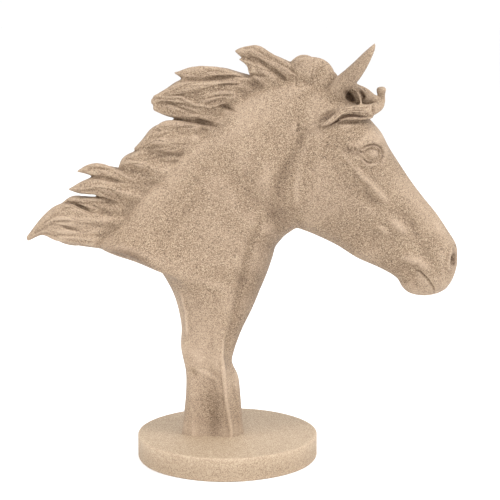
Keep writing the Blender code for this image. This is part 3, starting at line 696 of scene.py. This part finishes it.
# Places rubbed smooth: the line (x, z), its breadth, and passes of the rubber there. The whole
# figure gets the first number of passes
RUBBED_ALL = 10
RUBBED = (
    # Where the head grows out of the neck, the poll and the ear's root
    (((106, 330), (80, 322), (55, 306)), 10, 60),
    (((60, 290), (58, 262), (56, 238), (58, 216), (70, 205)), 9, 45),
    (((96, 326), (108, 334), (116, 338)), 8, 40),
    # Where the neck runs into the stem
    (((-56, 148), (-24, 130), (8, 114)), 15, 110),
    # The roots of the mane
    (((-112, 196), (-100, 214), (-84, 236), (-64, 257), (-46, 274), (-32, 294), (-12, 304), (8, 318),
      (30, 330), (64, 340)), 8, 34),
)


def rub(mesh):
    """Rub the clay smooth, all over a little and in some places more."""
    count = len(mesh.vertices)
    ends = edge_ends(mesh)
    near = np.bincount(ends.ravel(), minlength=count)[:, None]
    points = read_vectors(mesh.vertices, "co", count)
    passes = np.full(count, float(RUBBED_ALL))
    for mark in RUBBED:
        add_stroke(passes, points[:, (0, 2)], *mark, fade=False)
    for done in range(int(math.ceil(passes.max()))):
        share = np.clip(passes - done, 0.0, 1.0)[:, None] / 2
        points = points + (neighbour_sum(points, ends) / near - points) * share
    mesh.vertices.foreach_set("co", points.ravel())
    mesh.update()


def stand_flat(mesh):
    """Cut the foot off level and set the figure, at its real size, on its seat."""
    form = bmesh.new()
    form.from_mesh(mesh)
    everything = form.verts[:] + form.edges[:] + form.faces[:]
    cut = bmesh.ops.bisect_plane(form, geom=everything, dist=CUT_SNAP, plane_co=(0, 0, CUT_AT),
                                 plane_no=(0, 0, 1), clear_inner=True)
    rim = [item for item in cut["geom_cut"] if isinstance(item, bmesh.types.BMEdge)]
    bmesh.ops.holes_fill(form, edges=rim)
    bmesh.ops.triangulate(form, faces=form.faces)
    for face in form.faces:
        face.smooth = face.calc_center_median().z > CUT_AT + WELD
    for edge in form.edges:
        edge.smooth = max(vert.co.z for vert in edge.verts) > CUT_AT + WELD
    bmesh.ops.translate(form, vec=(0, 0, -DRAWN_FOOT), verts=form.verts)
    bmesh.ops.scale(form, vec=(UNIT, UNIT, UNIT), verts=form.verts)
    bmesh.ops.translate(form, vec=(0, 0, FIGURE_LOW.z), verts=form.verts)
    form.to_mesh(mesh)
    form.free()


# Painted shade in folds, recesses and shaded sides and, below nought, painted light where light falls:
# the line (x, z), its breadth and its strength
SHADES = (
    # Painted shade in the nostril, the pits and folds of the forelock and the shadow under the near wisp
    (((216.3, 186), (217.6, 178), (217, 170), (215, 162)), 2.4, 0.8),
    (((109, 338), (116.5, 327.5), (124, 317.5)), 2.0, 1.1),
    (((123, 339), (128.6, 330), (128.4, 320)), 2.0, 1.0),
    (((136, 322), (141, 312)), 1.6, 0.5),
    (((90, 299), (101, 304.5), (107, 308.5), (113.6, 311), (121.2, 311.5), (136, 308.5)), 1.8, 0.9),
    (((80, 302), (88, 307.5), (95.5, 311), (101, 315), (108, 319)), 2.4, 0.9),
    (((98, 303), (85, 300), (74, 295), (64, 283)), 3.2, 0.4),
    # Painted shade on the jowl and the throat
    (((68, 282), (56, 262), (50, 246), (46, 222)), 5, 0.18),
    (((30, 250), (46, 224), (66, 198)), 13, 0.42),
    # Painted shade on the brow, the lids and the corner behind them
    (((112, 298), (132, 298), (156, 284)), 7, 0.06),
    (((122, 275), (148, 277)), 7, 0.16),
    (((104, 283), (118, 279), (131, 277)), 3.0, 0.6),
    (((121, 279), (130, 283.5), (138, 284.5), (145, 281), (146.5, 274), (146, 265)), 1.5, 0.6),
    (((122, 277), (128, 271), (132, 268), (138, 267.5), (145, 270)), 1.5, 0.35),
    # Painted shade in the groove of the throat
    (((35, 221), (28, 201.7), (20.8, 179.4), (11.3, 135.4), (1.6, 95.2), (-2, 70)), 6.5, 0.2),
    # Painted shade on the cut under the neck and in the hollow of the stem
    (((-122, 183), (-104, 182.5), (-93, 181.5), (-84, 178.5), (-64, 164)), 4.6, 0.75),
    (((-27, 66), (-18, 42), (-14, 15), (-11, -24)), 9, 0.2),
    (((-36, 70), (-27, 56)), 3.5, 0.3),
    # Painted shade in the recesses between the locks of the mane
    (((24, 374), (37, 367), (50, 360), (65, 351)), 2.2, 0.25),
    (((-52, 314), (-32, 300), (-18, 296), (-5, 301), (12, 318)), 7, 0.45),
    (((-16, 329), (18, 338), (54, 345)), 6, 0.3),
    (((-33, 328), (-19.9, 323.6), (0, 326)), 2.6, 0.3),
    (((-80, 281), (-62.6, 275.7), (-46, 267)), 3, 0.25),
    (((-98, 262), (-81.8, 256.7), (-67.5, 249.3), (-51, 241)), 2.6, 0.2),
    (((-162, 227), (-134.9, 223.7), (-115.5, 218.5), (-94, 215.5)), 2.6, 0.25),
    (((-124, 231.5), (-108.9, 224.9), (-100, 221)), 2.6, 0.25),
    # Painted shade on the underside of the throat, the neck, the cheek and the ears
    (((60, 236), (43, 190), (30, 148), (18, 100), (6, 60)), 11.5, 0.44),
    (((-40, 160), (0, 232), (44, 305)), 32, 0.19),
    (((70, 290), (98, 245), (130, 196)), 28, 0.2),
    (((96, 318), (118, 348), (142, 384)), 9, 0.3),
    # Painted light on the forehead, the cheek's edge, the crest, the folds of the nose and the upper lip
    (((128, 302), (146, 290), (158, 272)), 7, -0.16),
    (((132, 262), (150, 244)), 7, -0.12),
    (((80, 300), (69, 272), (65, 240), (64, 200)), 4, -0.1),
    (((120, 263), (140, 243), (157, 225)), 3.5, -0.14),
    (((148, 221), (164, 206), (180, 192)), 5, -0.1),
    (((160, 180), (182, 172.5), (200, 159)), 4.5, -0.12),
    # Painted light on the nose, the mane's last lock and root, the stem and its foot
    (((146, 266), (182, 228), (220, 178)), 9, -0.22),
    (((-200, 194), (-150, 205), (-100, 206)), 15, -0.16),
    (((-54, 156), (-45, 122), (-43, 84)), 9, -0.16),
    (((-112, 184), (-62, 240), (-22, 285), (25, 312), (80, 326)), 15, -0.14),
    (((-15, 165), (-20, 110), (-22, 70), (-22, 30), (-20, -40)), 30, -0.28),
    (((-90, 2), (60, 2)), 12, -0.26),
)

# Hollows and ridges: passes of smoothing for the fine ones and the broad ones, and the depth in
# metres that counts as full
FINE_PASSES = 6
BROAD_PASSES = 60
FINE_DEPTH = 0.00022
BROAD_DEPTH = 0.0012


def smoothed(points, ends, passes):
    """Points drawn to the middle of their neighbours, a number of times."""
    near = np.bincount(ends.ravel(), minlength=len(points))[:, None]
    for _ in range(passes):
        points = (points + neighbour_sum(points, ends) / near) / 2
    return points


def note_hollows(mesh, unit):
    """Keep on each point how far it lies in a hollow, or, below nought, on a ridge; the mesh is
    in this unit."""
    count = len(mesh.vertices)
    ends = edge_ends(mesh)
    points = read_vectors(mesh.vertices, "co", count)
    normals = read_vectors(mesh.vertex_normals, "vector", count)
    for name, passes, depth in (("fine_hollow", FINE_PASSES, FINE_DEPTH),
                                ("broad_hollow", BROAD_PASSES, BROAD_DEPTH)):
        moved = smoothed(points, ends, passes) - points
        value = np.clip(np.sum(moved * normals, axis=1) * unit / depth, -1.0, 1.0)
        mesh.attributes.new(name, "FLOAT", "POINT").data.foreach_set("value", value)


def note_shades(mesh, shades):
    """Keep on each point how much painted shade lies on it, or, below nought, how much painted light."""
    points = read_vectors(mesh.vertices, "co", len(mesh.vertices))
    strength = np.zeros(len(points))
    for shade in shades:
        add_stroke(strength, points[:, (0, 2)], *shade)
    mesh.attributes.new("shade", "FLOAT", "POINT").data.foreach_set("value", strength)


class Value:
    """A value that varies over a surface. Its operators add Math nodes."""

    def __init__(self, paint, socket):
        self.paint = paint
        self.socket = socket

    def maths(self, operation, first, second):
        return self.paint.node("ShaderNodeMath", {"operation": operation}, {0: first, 1: second})

    def __add__(self, other):
        return self.maths("ADD", self, other)

    def __radd__(self, other):
        return self.maths("ADD", other, self)

    def __sub__(self, other):
        return self.maths("SUBTRACT", self, other)

    def __rsub__(self, other):
        return self.maths("SUBTRACT", other, self)

    def __mul__(self, other):
        return self.maths("MULTIPLY", self, other)

    def __rmul__(self, other):
        return self.maths("MULTIPLY", other, self)


# Sockets of the Mix node for colours
MIX_FIRST = 6
MIX_SECOND = 7
MIX_RESULT = 2


class Paint:
    """A finish built from nodes."""

    def __init__(self, name):
        self.material = bpy.data.materials.new(name)
        self.material.use_nodes = True
        self.tree = self.material.node_tree
        self.shader = self.tree.nodes["Principled BSDF"]
        place = self.tree.nodes.new("ShaderNodeTexCoord")
        self.place = Value(self, place.outputs["Object"])

    def feed(self, socket, value):
        if isinstance(value, Value):
            self.tree.links.new(value.socket, socket)
        else:
            socket.default_value = value

    def node(self, kind, settings, sockets, output=0):
        """Add a node: its settings first, then the values or links of its sockets."""
        made = self.tree.nodes.new(kind)
        for name, setting in settings.items():
            if name == "stops":
                self.set_stops(made.color_ramp, setting)
            else:
                setattr(made, name, setting)
        for name, value in sockets.items():
            self.feed(made.inputs[name], value)
        return Value(self, made.outputs[output])

    def set_stops(self, ramp, stops):
        while len(ramp.elements) < len(stops):
            ramp.elements.new(0.5)
        for element, (position, colour) in zip(ramp.elements, stops):
            element.position = position
            element.color = (*colour, 1.0)

    def ramp(self, value, stops):
        return self.node("ShaderNodeValToRGB", {"stops": stops}, {"Fac": value})

    def noise(self, scale, detail=2.0, roughness=0.5):
        return self.node("ShaderNodeTexNoise", {},
                         {"Vector": self.place, "Scale": scale, "Detail": detail, "Roughness": roughness})

    def grains(self, scale, output):
        return self.node("ShaderNodeTexVoronoi", {}, {"Vector": self.place, "Scale": scale}, output)

    def share(self, value, low, high):
        """Nought at low and one at high, and held between them."""
        return self.node("ShaderNodeMapRange", {"clamp": True},
                         {"Value": value, "From Min": low, "From Max": high})

    def mix(self, factor, first, second, blend="MIX"):
        return self.node("ShaderNodeMix", {"data_type": "RGBA", "blend_type": blend},
                         {"Factor": factor, MIX_FIRST: first, MIX_SECOND: second}, MIX_RESULT)

    def finish(self, colour, roughness, height, depth):
        bump = self.node("ShaderNodeBump", {}, {"Height": height, "Distance": depth})
        self.feed(self.shader.inputs["Base Color"], colour)
        self.feed(self.shader.inputs["Roughness"], roughness)
        self.feed(self.shader.inputs["Normal"], bump)
        self.shader.inputs["Specular IOR Level"].default_value = SAND_SPECULAR
        return self.material


# Sand: grains to the metre, and colours from the darkest grain to the palest
GRAIN_SCALE = 1550.0
GRIT_SCALE = 2200.0
CLOUD_SCALE = 38.0
SAND_STOPS = (
    (0.0, (0.063, 0.035, 0.017)),
    (0.16, (0.149, 0.091, 0.053)),
    (0.38, (0.230, 0.155, 0.097)),
    (0.62, (0.284, 0.200, 0.129)),
    (0.84, (0.337, 0.245, 0.161)),
    (1.0, (0.440, 0.345, 0.238)),
)
# The tone: shares of the cells, the finer grit and the slow clouds
CELL_SHARE = 0.85
GRIT_SHARE = 0.45
CLOUD_SHARE = 0.08
# Painted shade: its tint, from where a hollow takes it, and how much lies in fine hollows, in broad
# ones and where it is drawn
PAINTED_SHADE_TINT = (0.30, 0.22, 0.155, 1.0)
FINE_HOLLOW_FROM = 0.1
BROAD_HOLLOW_FROM = 0.12
FINE_HOLLOW_SHADE = 0.26
BROAD_HOLLOW_SHADE = 0.2
DRAWN_SHADE = 0.8
# Painted highlight: its colour, from where a ridge takes it, and how pale fine ridges and broad ones are
PAINTED_LIGHT_COLOUR = (0.62, 0.475, 0.350, 1.0)
FINE_RIDGE_FROM = -0.15
BROAD_RIDGE_FROM = -0.1
FINE_RIDGE_LIGHT = 0.22
BROAD_RIDGE_LIGHT = 0.06
# The surface: its roughness with what the grit adds, its specular level, and how high grains stand
SAND_ROUGHNESS = 0.6
GRIT_ROUGHNESS = 0.2
SAND_SPECULAR = 0.5
GRAIN_HEIGHT = 0.5
GRIT_HEIGHT = 0.6


def sand_cast(name, contrast, lift, depth):
    """Cast sandstone: speckled grains, with painted shade in the hollows, painted highlights on the
    ridges, and painted shade and light along drawn strokes. Lift makes the tone paler, and depth is the
    height of the grains in metres."""
    paint = Paint(name)
    cell = paint.node("ShaderNodeSeparateColor", {}, {"Color": paint.grains(GRAIN_SCALE, "Color")})
    grit = paint.noise(GRIT_SCALE, detail=1.0)
    cloud = paint.noise(CLOUD_SCALE, detail=3.0)
    grain = cell * CELL_SHARE + grit * GRIT_SHARE - (CELL_SHARE + GRIT_SHARE) / 2
    tone = grain * contrast + (cloud - 0.5) * CLOUD_SHARE + (0.5 + lift)
    colour = paint.ramp(tone, SAND_STOPS)
    fine, broad, shade = (paint.node("ShaderNodeAttribute", {"attribute_name": noted}, {}, "Fac")
                          for noted in ("fine_hollow", "broad_hollow", "shade"))
    # Painted shade in the hollows and along the drawn strokes
    painted_shade = (paint.share(fine, FINE_HOLLOW_FROM, 1.0) * FINE_HOLLOW_SHADE
            + paint.share(broad, BROAD_HOLLOW_FROM, 1.0) * BROAD_HOLLOW_SHADE
            + paint.share(shade, 0.0, 1.0) * DRAWN_SHADE)
    # Painted highlights on the ridges, and painted light along the drawn strokes below nought
    painted_light = (paint.share(fine, FINE_RIDGE_FROM, -1.0) * FINE_RIDGE_LIGHT
            + paint.share(broad, BROAD_RIDGE_FROM, -1.0) * BROAD_RIDGE_LIGHT
            + paint.share(shade, 0.0, -1.0))
    colour = paint.mix(painted_light, colour, PAINTED_LIGHT_COLOUR)
    colour = paint.mix(painted_shade, colour, PAINTED_SHADE_TINT, "MULTIPLY")
    roughness = SAND_ROUGHNESS + grit * GRIT_ROUGHNESS
    height = paint.grains(GRAIN_SCALE, "Distance") * GRAIN_HEIGHT + grit * GRIT_HEIGHT
    return paint.finish(colour, roughness, height, depth)


def make_figure():
    """The casting: head, neck, mane, forelock, ears and stem in one piece."""
    mesh = melt(clay_mesh())
    rub(mesh)
    work_marks(mesh)
    mesh = thin(mesh, FACETS)
    note_hollows(mesh, UNIT)
    note_shades(mesh, SHADES)
    stand_flat(mesh)
    figure = linked("horse_head_casting", mesh)
    mesh.materials.append(sand_cast("speckled_sand", contrast=1.18, lift=0.0, depth=0.0006))
    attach(figure, "root")
    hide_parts("horse_head")


# Base: radius of its rounded top edge and of its bottom edge, and steps of the arcs and the turn
TOP_EDGE = 0.0018
BOTTOM_EDGE = 0.0016
ARC_STEPS = 8
TURN_STEPS = 220
# Its rings, as shares of the radius on its faces and of the height on its wall
FACE_SHARES = (0.0, 0.3, 0.6, 0.85, 0.94, 0.972)
WALL_SHARES = (0.12, 0.3, 0.5, 0.7, 0.88)
BASE_WELD = 0.00001
# Its waver: how far the rim sways, how steeply that grows outwards, the long and the short waves
# around it, where the long ones start, and the short ones' share
WAVER = 0.00035
WAVER_POWER = 4
LONG_WAVES = 3
SHORT_WAVES = 7
LONG_START = 0.8
SHORT_SHARE = 0.6

# Painted shade darkening its wall, in metres
BASE_SHADES = (
    (((-0.15, BASE_HEIGHT * 0.3), (0.15, BASE_HEIGHT * 0.3)), BASE_HEIGHT * 0.4, 0.32),
)


def arc(centre_out, centre_up, radius, start, end):
    """Points of an arc in the base's profile."""
    return [(centre_out + radius * math.cos(a), centre_up + radius * math.sin(a))
            for a in np.linspace(start, end, ARC_STEPS)]


def make_base():
    """A turned disc with a soft edge that wavers a little, as it came out of its mould."""
    face = [(BASE_RADIUS * share, 0.0) for share in FACE_SHARES]
    bottom = arc(BASE_RADIUS - BOTTOM_EDGE, BOTTOM_EDGE, BOTTOM_EDGE, -math.pi / 2, 0)
    top = arc(BASE_RADIUS - TOP_EDGE, BASE_HEIGHT - TOP_EDGE, TOP_EDGE, 0, math.pi / 2)
    wall = [(BASE_RADIUS, BASE_HEIGHT * share) for share in WALL_SHARES]
    back = [(out, BASE_HEIGHT) for out, _ in face[::-1]]
    disc = bmesh.new()
    profile = [disc.verts.new((out, 0, up)) for out, up in face + bottom + wall + top + back]
    edges = [disc.edges.new(pair) for pair in zip(profile[:-1], profile[1:])]
    bmesh.ops.spin(disc, geom=profile + edges, cent=(0, 0, 0), axis=(0, 0, 1), angle=2 * math.pi,
                   steps=TURN_STEPS, use_merge=True)
    bmesh.ops.remove_doubles(disc, verts=disc.verts, dist=BASE_WELD)
    bmesh.ops.recalc_face_normals(disc, faces=disc.faces)
    for vert in disc.verts:
        turn = math.atan2(vert.co.y, vert.co.x)
        out = math.hypot(vert.co.x, vert.co.y) / BASE_RADIUS
        waves = math.sin(LONG_WAVES * turn + LONG_START) + SHORT_SHARE * math.sin(SHORT_WAVES * turn)
        sway = WAVER * out ** WAVER_POWER * (waves - 1 - SHORT_SHARE)
        vert.co.x += sway * math.cos(turn)
        vert.co.y += sway * math.sin(turn)
    mesh = as_mesh(disc, "base")
    mesh.shade_smooth()
    note_hollows(mesh, 1.0)
    note_shades(mesh, BASE_SHADES)
    base = linked("turned_base", mesh)
    mesh.materials.append(sand_cast("speckled_sand_base", contrast=1.1, lift=0.35, depth=0.0003))
    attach(base, "root")
    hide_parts("round_base")


# Studio: the floor's half breadth, its white and its roughness
FLOOR_HALF = 30.0
FLOOR_WHITE = (0.98, 0.98, 0.98, 1.0)
FLOOR_ROUGHNESS = 0.9
# The camera's place, its tilt down and its lens
CAMERA_PLACE = (0.0224, -1.4, 0.4362)
CAMERA_TILT = 0.16432
CAMERA_LENS = 105.9
# Soft square lights, aimed at the figure's middle: name, place, breadth and power
MIDDLE = Vector((0.015, 0.0, 0.21))
LIGHTS = (
    ("left", (-1.4, -0.8, 2.0), 1.0, 22),
    ("right", (1.6, -0.7, 1.9), 1.0, 42),
    ("front", (-0.2, -1.7, 1.2), 1.0, 6),
    ("behind", (0.3, 2.0, 1.6), 1.8, 12),
)
# The low spot on the stem: its place, its breadth in degrees, its power and the size of its lamp
STEM_MIDDLE = Vector((-0.02, 0.0, 0.145))
SPOT_PLACE = (-0.3, -1.7, 0.45)
SPOT_BREADTH = 10
SPOT_POWER = 105
SPOT_LAMP = 0.2
STUDIO_WHITE = (1.0, 1.0, 1.0, 1.0)
STUDIO_STRENGTH = 1.03


def make_floor():
    ground = bmesh.new()
    bmesh.ops.create_grid(ground, x_segments=2, y_segments=2, size=FLOOR_HALF)
    floor = linked("floor", as_mesh(ground, "floor"))
    white = bpy.data.materials.new("white_paper")
    white.use_nodes = True
    shader = white.node_tree.nodes["Principled BSDF"]
    shader.inputs["Base Color"].default_value = FLOOR_WHITE
    shader.inputs["Roughness"].default_value = FLOOR_ROUGHNESS
    floor.data.materials.append(white)


def place_light(name, data, place, aim):
    light = linked(name, data)
    light.location = place
    light.rotation_euler = (aim - Vector(place)).to_track_quat("-Z", "Y").to_euler()


def make_light(name, place, size, power):
    data = bpy.data.lights.new(name, "AREA")
    data.shape = "SQUARE"
    data.size = size
    data.energy = power
    place_light(name, data, place, MIDDLE)


def make_spot():
    data = bpy.data.lights.new("low", "SPOT")
    data.spot_size = math.radians(SPOT_BREADTH)
    data.spot_blend = 1.0
    data.shadow_soft_size = SPOT_LAMP
    data.energy = SPOT_POWER
    place_light("low", data, SPOT_PLACE, STEM_MIDDLE)


def make_world():
    world = bpy.data.worlds.new("studio")
    world.use_nodes = True
    background = world.node_tree.nodes["Background"]
    background.inputs["Color"].default_value = STUDIO_WHITE
    background.inputs["Strength"].default_value = STUDIO_STRENGTH
    bpy.context.scene.world = world
    bpy.context.scene.view_settings.view_transform = "Standard"


def place_camera():
    data = bpy.data.cameras.new("camera")
    data.lens = CAMERA_LENS
    camera = linked("camera", data)
    camera.location = CAMERA_PLACE
    camera.rotation_euler = (math.pi / 2 - CAMERA_TILT, 0, 0)
    bpy.context.scene.camera = camera


def make_studio():
    make_floor()
    for light in LIGHTS:
        make_light(*light)
    make_spot()
    make_world()
    place_camera()


make_figure()
make_base()
make_studio()
